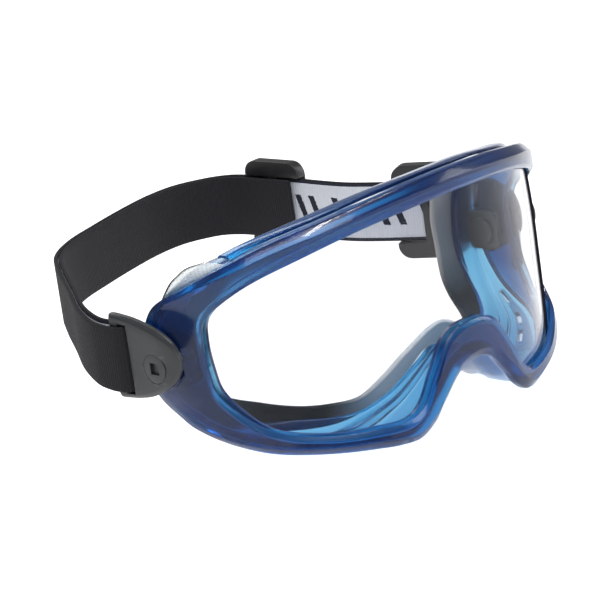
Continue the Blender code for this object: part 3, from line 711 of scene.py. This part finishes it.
def wall_patch(name, first, last, profile, mat, arched=False):
    """A closed strip over the side wall, from one station to another.  profile holds (share of the
    wall, height, fillet) round the section; an arched strip lies low at its ends."""
    count = round((last - first) * FINE)
    sections, uvs = [], []
    run = 0.0
    previous = None
    for k in range(count + 1):
        t = k / count
        row = []
        section = Section(first * (1 - t) + last * t)
        for v, h, _ in profile:
            rise = max(h - 1.5, 0) * (1 - hood(t)) if arched else 0
            row.append(section.wall(max(v, 1.6 / section.depth), h - rise))
        middle = np.mean(row, axis=0)
        run += 0 if previous is None else np.linalg.norm(middle - previous)
        previous = middle
        row = rounded(row, [r for _, _, r in profile])
        sections.append(row)
        across = [0.0]
        for a, b in zip(row, row[1:]):
            across.append(across[-1] + float(np.linalg.norm(b - a)))
        uvs += [(run, value) for value in across]
    points = [p for row in sections for p in row]
    obj = new_object(name, points, strip_faces(len(sections), len(sections[0])), [mat], uv=uvs)
    smooth(obj, 40)
    return obj


def sweep(name, path, radius, mat):
    """A thin round bead along a path of design points."""
    n, sides = len(path), 8
    points = []
    for k in range(n):
        ahead = path[min(k + 1, n - 1)] - path[max(k - 1, 0)]
        tangent = ahead / np.linalg.norm(ahead)
        side = np.cross(tangent, (0.3, 0.2, 1.0))
        side /= np.linalg.norm(side)
        other = np.cross(tangent, side)
        for j in range(sides):
            angle = 2 * math.pi * j / sides
            points.append(path[k] + radius * (math.cos(angle) * side + math.sin(angle) * other))
    obj = new_object(name, points, strip_faces(n, sides), [mat])
    smooth(obj, 60)
    return obj


def make_vents(cover_blue, film, bead):
    """Top cover, four vent screens and the beads over the upper two; spans are in stations."""
    cover = (
        (0.07, 2.1, 0.3), (0.2, 2.7, 1.0), (0.42, 3.1, 0.6), (0.52, 2.6, 0.3),
        (0.52, 1.6, 0.3), (0.42, 2.1, 0.6), (0.2, 1.7, 1.0), (0.07, 1.1, 0.3),
    )
    obj = wall_patch("brow_vent_cover", -3.85, 3.85, cover, cover_blue)
    ride(obj, "goggle_frame", ["top_vent_cover"])
    window = (
        (0.08, 1.3, 0.2), (0.28, 2.0, 0.5), (0.48, 2.8, 0.5), (0.7, 3.4, 0.5), (0.92, 3.9, 0.2),
        (0.92, 3.5, 0.2), (0.7, 3.0, 0.5), (0.48, 2.4, 0.5), (0.28, 1.6, 0.5), (0.08, 0.9, 0.2),
    )
    screen = (
        (0.08, 1.4, 0.2), (0.18, 1.6, 0.5), (0.36, 1.8, 0.5), (0.44, 1.8, 0.2),
        (0.44, 1.3, 0.2), (0.36, 1.3, 0.5), (0.18, 1.1, 0.5), (0.08, 0.9, 0.2),
    )
    spans = (
        ("top_vent_screen_left", 4.05, 5.9, window),
        ("top_vent_screen_right", COUNT - 5.9, COUNT - 4.05, window),
        ("lower_vent_screen_left", 9.5, 12.9, screen),
        ("lower_vent_screen_right", COUNT - 12.9, COUNT - 9.5, screen),
    )
    for node, first, last, profile in spans:
        obj = wall_patch(node.replace("screen", "film"), first, last, profile, film, profile is window)
        ride(obj, "goggle_frame", [node])
    for label, first, last in (("left", 4.0, 5.95), ("right", COUNT - 5.95, COUNT - 4.0)):
        path = []
        for t in np.linspace(0, 1, 60):
            section = Section(first * (1 - t) + last * t)
            path.append(section.wall(0.94, 1.2 + 2.5 * float(hood(t))))
        obj = sweep("vent_edge_bead_" + label, path, 0.3, bead)
        ride(obj, "goggle_frame")


# ---- clips, studs and washers -------------------------------------------------------------------
def clip_outline():
    """Outline of the clip in (y, z), finely stepped, from above the bar round the nose."""
    top, bottom = CLIP_NOSE[0][1], CLIP_NOSE[-1][1]
    nose = spline(CLIP_NOSE, 6)
    rear = [np.array((BAR_BACK, bottom)), np.array((BAR_BACK, top))]
    return rounded(nose + rear, [0] * len(nose) + [2.6, 2.6], 8)


def clip_drop(y, z):
    """How far the clip's outer face falls away towards its nose."""
    return 1.15 * smoothstep(50.0, 41.4, y + 0.03 * (z + 0.5) ** 2)


def make_clip(side, label, mat):
    """The clip: rings up its rounded edge, then rings that close its outer face over the centre."""
    outline = clip_outline()
    centre = np.array((PIVOT_Y + 6, WEB_Z - 0.8))
    count = len(outline)
    face_inset = 1.6
    levels = (      # (x, how far in from the outline)
        (CLIP_IN, 0.5), (CLIP_IN + 0.35, 0.12), (CLIP_IN + 0.6, 0.0), (CLIP_OUT - 1.25, 0.0),
        (CLIP_OUT - 0.95, 0.1), (CLIP_OUT - 0.42, 0.75), (CLIP_OUT - 0.12, 1.15), (CLIP_OUT, face_inset),
    )
    points = []
    for x, inset in levels:
        for p in outline:
            to = centre - p
            q = p + to / np.linalg.norm(to) * inset
            points.append((side * (x - clip_drop(*q) * smoothstep(CLIP_IN + 1, CLIP_OUT, x)), *q))
    shares = (0.2, 0.4, 0.6, 0.8)
    for share in shares:
        for p in outline:
            to = centre - p
            q = p + to / np.linalg.norm(to) * face_inset
            q = q + (centre - q) * share
            points.append((side * (CLIP_OUT - clip_drop(*q)), *q))
    points.append((side * CLIP_OUT, *centre))
    rows = len(levels) + len(shares)
    faces = []
    for start in range(0, (rows - 1) * count, count):
        for k in range(count):
            a, b = start + k, start + (k + 1) % count
            faces.append((a, b, b + count, a + count))
    start, last = (rows - 1) * count, len(points) - 1
    faces += [(start + k, start + (k + 1) % count, last) for k in range(count)]
    faces.append(tuple(range(count)))
    obj = new_object("swivel_clip_" + label, points, faces, [mat])
    half = WEB_WIDTH / 2 + 0.6
    low, high = sorted((side * (CLIP_IN - 2.2), side * (CLIP_OUT + 2.2)))
    boolean(obj, block("slot", (low, SLOT_FRONT, WEB_Z - half), (high, BAR_FRONT, WEB_Z + half)))
    boolean(obj, tube("bore", STUD_R + GAP, CLIP_IN - 2, CLIP_OUT + 2, side))
    boolean(obj, tube("seat", HEAD_R + 0.06, CLIP_OUT - 1.3, CLIP_OUT + 2, side))
    bevel_edges(obj, 0.28, 2, 50)
    smooth(obj, 30)
    return ride(obj, "strap", ["strap_clip_" + label])


def make_stud(side, label, mat):
    """The pivot stud with its socketed head, and the backing plate inside the boss."""
    inner_end, head_back = BOSS_BACK - 2.8, CLIP_OUT - 1.0
    obj = tube("swivel_stud_" + label, STUD_R, inner_end + 0.5, CLIP_OUT - 0.6, side)
    boolean(obj, tube("head", HEAD_R, head_back, CLIP_OUT - 0.04, side, bevel=0.06), "UNION")
    boolean(obj, tube("tail", HEAD_R, inner_end, inner_end + 1.0, side, bevel=0.25), "UNION")
    boolean(obj, pivot_block("socket", side * head_back, side * (CLIP_OUT + 2), SOCKET_HALF))
    one_material(obj, mat)
    smooth(obj, 35)
    ride(obj, "goggle_frame", ["pivot_stud_" + label])
    plate = pivot_block("backing_plate_" + label, side * (inner_end + 1.3), side * (BOSS_BACK - GAP),
                        PLATE_HALF)
    bm = bmesh.new()
    bm.from_mesh(plate.data)
    along = [e for e in bm.edges if abs(e.verts[0].co.x - e.verts[1].co.x) > 0.5 * MM]
    bmesh.ops.bevel(bm, geom=along, offset=2.4 * MM, segments=8, profile=0.5, affect="EDGES")
    bm.to_mesh(plate.data)
    bm.free()
    boolean(plate, tube("bore", STUD_R + GAP, inner_end, inner_end + 4, side))
    bevel_edges(plate, 0.3, 2, 50)
    one_material(plate, mat)
    smooth(plate, 35)
    ride(plate, "goggle_frame", ["stud_washer_" + label])


# ---- strap --------------------------------------------------------------------------------------
PER_THIRD = 4                   # points of the fine route in a third of a span of STRAP_ROUTE


def spline(points, steps):
    """Catmull-Rom through open points, steps to each span."""
    pts = [np.array(p, float) for p in points]
    pts = [2 * pts[0] - pts[1]] + pts + [2 * pts[-1] - pts[-2]]
    out = []
    for i in range(1, len(pts) - 2):
        p0, p1, p2, p3 = pts[i - 1:i + 3]
        for k in range(steps):
            t = k / steps
            out.append(0.5 * (2 * p1 + (p2 - p0) * t + (2 * p0 - 5 * p1 + 4 * p2 - p3) * t ** 2
                              + (3 * p1 - p0 - 3 * p2 + p3) * t ** 3))
    return out + [pts[-2]]


def inside_offset(route, k, distance):
    """A point of the route moved level towards the head."""
    ahead = route[min(k + 1, len(route) - 1)] - route[max(k - 1, 0)]
    along = ahead / np.linalg.norm(ahead * (1, 1, 0))
    return route[k] + np.array((along[1], -along[0], 0)) * distance


def fold(side):
    """Half turn of the webbing round the clip's bar."""
    outer = CLIP_OUT + GAP + 0.1 + WEB_THICK / 2
    centre_x, centre_y = outer - WEB_TURN_R, BAR_FRONT - 0.3
    points = []
    for angle in np.linspace(0, math.pi, 25):
        x = centre_x + WEB_TURN_R * math.cos(angle)
        points.append(np.array((side * x, centre_y - WEB_TURN_R * math.sin(angle), WEB_Z)))
    return points


def return_layer(route, first, last, near_slider):
    """The doubled-back layer, from one point of the route to another: apart near the clip, close to
    the main layer after it, and over the slider's bar at its end.  Lengths along it are counted in
    thirds of the route's given points."""
    apart_clip, apart_free, apart_slider = 4.6, 1.7, 3.0
    past_clip, ease = 6, 3
    count = abs(last - first)
    way = 1 if last > first else -1
    points = []
    for k in range(count + 1):
        left = (count - k) / PER_THIRD
        apart = apart_free + (apart_clip - apart_free) * max(0, 1 - k / PER_THIRD / past_clip) ** 2
        rise = min(max((near_slider + ease - left) / ease, 0), 1)
        apart = max(apart, apart_free + (apart_slider - apart_free) * rise)
        points.append(inside_offset(route, first + way * k, apart))
    return points


def strap_path():
    """The webbing's middle line from end to end: the right return layer, the right fold, the way
    round the head, the left fold and the left return layer."""
    steps = 3 * PER_THIRD
    route = spline(STRAP_ROUTE, steps)
    last = len(route) - 1
    right = return_layer(route, PER_THIRD, 15 * steps, 8)
    left = return_layer(route, last - PER_THIRD, last - 2 * steps, 9)
    return right[::-1] + fold(-1)[::-1] + route + fold(1) + left


def resample(path, spacing):
    """The path in equal steps, and how far along it each of the new points lies."""
    pts = np.array(path)
    length = np.concatenate(([0], np.cumsum(np.linalg.norm(np.diff(pts, axis=0), axis=1))))
    keep = np.concatenate(([True], np.diff(length) > 1e-6))
    pts, length = pts[keep], length[keep]
    count = int(length[-1] / spacing)
    at = np.linspace(0, length[-1], count + 1)
    return np.stack([np.interp(at, length, pts[:, i]) for i in range(3)], axis=1), at


def make_strap(black, white):
    """One long band, black on its outer side and pale on its inner side."""
    path, at = resample(strap_path(), 0.8)
    for _ in range(3):                                          # eases the joints between the parts
        path[1:-1] = path[1:-1] * 0.5 + (path[:-2] + path[2:]) * 0.25
    n = len(path)
    half, thick = WEB_WIDTH / 2, WEB_THICK / 2
    across = np.linspace(half - 0.4, 0.4 - half, 13)            # the edges are rounded off past it
    edge = np.array(((half - 0.1, thick * 0.7), (half, 0), (half - 0.1, -thick * 0.7)))
    profile = [(w, thick) for w in across[::-1]] + list(edge)   # the black side
    first_pale = len(profile)
    profile += [(w, -thick) for w in across] + list(-edge)      # the pale side
    last_pale = first_pale + len(across) - 1
    m = len(profile)
    points, uv = [], []
    for k in range(n):
        ahead = path[min(k + 1, n - 1)] - path[max(k - 1, 0)]
        along = ahead / np.linalg.norm(ahead * (1, 1, 0))
        out = np.array((-along[1], along[0], 0))
        for w, t in profile:
            points.append(path[k] + out * t + np.array((0, 0, w)))
            uv.append((at[k], w))
    mats = [int(first_pale <= j < last_pale) for _ in range(n - 1) for j in range(m)] + [0, 0]
    obj = new_object("elastic_webbing", points, strip_faces(n, m), [black, white], mats, uv)
    smooth(obj, 50)
    return ride(obj, "strap", ["strap_webbing"])


def slider_axes(start, end, distance):
    """The slider's place and axes (along the webbing, outwards, upwards) as a matrix; it lies on the
    line between two points of the route, distance from the first."""
    start, end = np.array(start, float), np.array(end, float)
    along = Vector((end - start) / np.linalg.norm(end - start))
    centre = place(start) + along * distance * MM
    out = Vector((0, 0, 1)).cross(along).normalized()
    axes = Matrix((along, out, along.cross(out))).transposed().to_4x4()
    return Matrix.Translation(centre) @ axes


def slider_block(name, low, high, spot, corner=0.0):
    """A box on the slider's own axes, with its corners rounded where a radius is given."""
    bm = bmesh.new()
    bmesh.ops.create_cube(bm, size=1)
    for vertex in bm.verts:
        co = [low[i] + (high[i] - low[i]) * (vertex.co[i] + 0.5) for i in range(3)]
        vertex.co = Vector(co) * MM
    if corner:
        across = [e for e in bm.edges if abs((e.verts[0].co - e.verts[1].co).y) > 0.5 * MM]
        bmesh.ops.bevel(bm, geom=across, offset=corner * MM, segments=8, profile=0.5, affect="EDGES")
    bmesh.ops.recalc_face_normals(bm, faces=bm.faces)
    bm.transform(spot)
    return object_from(name, bm)


def make_slider(label, start, end, distance, mat):
    """A tri-glide: a channel for the main layer, an open window outside it and a bar inside it."""
    spot = slider_axes(start, end, distance)
    half, tall, slot = SLIDER_LENGTH / 2, SLIDER_HEIGHT / 2, WEB_WIDTH / 2 + 0.5
    thick, bar, rail = 2.0, 1.8, 3      # half thickness, half the bar's width, width of the end rails
    past = 1                            # how far a cut runs out past the faces
    obj = slider_block("tri_glide_" + label, (-half, -thick, -tall), (half, thick, tall), spot,
                       SLIDER_CORNER)
    cuts = (
        ((-half - past, -1.0, -slot), (half + past, 1.0, slot)),
        ((-half + rail, 0.0, -slot), (half - rail, thick + past, slot)),
        ((-half - past, -thick - past, -slot), (-bar, 0.0, slot)),
        ((bar, -thick - past, -slot), (half + past, 0.0, slot)),
    )
    for low, high in cuts:
        boolean(obj, slider_block("cut", low, high, spot))
    bevel_edges(obj, 0.4, 3, 40)
    one_material(obj, mat)
    smooth(obj, 30)
    return ride(obj, "slider_" + label, ["strap_slider_" + label])


# ---- stage --------------------------------------------------------------------------------------
def make_stage():
    """White ground that glows a little, so that it stays white in the shade of the goggles."""
    bpy.ops.mesh.primitive_plane_add(size=6, location=(0, 0, -0.0002))
    floor = bpy.context.object
    floor.name = "floor"
    m = Nodes("floor_white")
    white = m.principled(Base_Color=(0.42, 0.42, 0.42), Roughness=0.9, Emission_Color=(1.0, 1.0, 1.0),
                         Emission_Strength=0.98)
    floor.data.materials.append(m.surface(white))


def area_light(name, location, target, size, power):
    """A rectangular lamp that points at the target."""
    data = bpy.data.lights.new(name, "AREA")
    data.shape = "RECTANGLE"
    data.size, data.size_y = size
    data.energy = power
    obj = bpy.data.objects.new(name, data)
    obj.location = location
    obj.rotation_euler = (Vector(target) - Vector(location)).to_track_quat("-Z", "Y").to_euler()
    bpy.context.scene.collection.objects.link(obj)


def make_lights():
    """Lamps as name, place, target, size in metres and power in watts, and a pale world."""
    area_light("key", (-0.5, -0.5, 1.1), (0, -0.02, 0.03), (0.9, 0.7), 10)
    area_light("strip", (0.06, -0.22, 0.85), (0, -0.03, 0.03), (0.6, 0.05), 3.5)
    area_light("rim", (0.2, 0.9, 0.8), (0, 0, 0.03), (0.8, 0.5), 4.5)
    area_light("side", (1.0, -0.5, 0.5), (0.03, -0.02, 0.03), (0.35, 0.9), 4)
    world = bpy.data.worlds.new("studio")
    bpy.context.scene.world = world
    world.use_nodes = True
    tree = world.node_tree
    tree.nodes.clear()
    out = tree.nodes.new("ShaderNodeOutputWorld")
    background = tree.nodes.new("ShaderNodeBackground")
    background.inputs["Color"].default_value = (1, 1, 1, 1)
    background.inputs["Strength"].default_value = 0.28
    tree.links.new(background.outputs[0], out.inputs["Surface"])


def make_camera():
    """The photograph's view; azimuth 0 looks along +Y."""
    data = bpy.data.cameras.new("camera")
    data.sensor_width = 36
    data.lens = 210.15
    data.clip_start, data.clip_end = 0.05, 20
    camera = bpy.data.objects.new("camera", data)
    azimuth, elevation, roll = (math.radians(degrees) for degrees in (-43.44, 15.895, -8.26))
    back = Vector((math.sin(azimuth) * math.cos(elevation), -math.cos(azimuth) * math.cos(elevation),
                   math.sin(elevation)))
    camera.rotation_mode = "QUATERNION"
    camera.rotation_quaternion = (-back).to_track_quat("-Z", "Y") @ Quaternion((0, 0, 1), roll)
    camera.location = place((-712.5, -681.2, 286.9))
    bpy.context.scene.collection.objects.link(camera)
    bpy.context.scene.camera = camera


# ---- build --------------------------------------------------------------------------------------
def main():
    make_camera()
    make_stage()
    make_lights()
    blue = blue_material("frame_translucent_blue", 880)
    slate = plastic_material("clip_slate_grain", (0.016, 0.018, 0.021), (0.026, 0.029, 0.032), 0.42)
    black = plastic_material("slider_black_grain", (0.008, 0.008, 0.009), (0.015, 0.015, 0.016), 0.36)
    make_frame(blue)
    make_lens(lens_material())
    make_seal(rubber_material())
    make_vents(blue_material("cover_translucent_blue", 1900), screen_material(), slate)
    for side, label in ((-1, "right"), (1, "left")):
        make_clip(side, label, slate)
        make_stud(side, label, slate)
    make_strap(webbing_material("webbing_black", False), webbing_material("webbing_pale", True))
    make_slider("right", STRAP_ROUTE[13], STRAP_ROUTE[16], 14.2, black)
    make_slider("left", STRAP_ROUTE[18], STRAP_ROUTE[21], 18.0, black)
    bpy.context.scene.view_settings.view_transform = "Standard"


main()
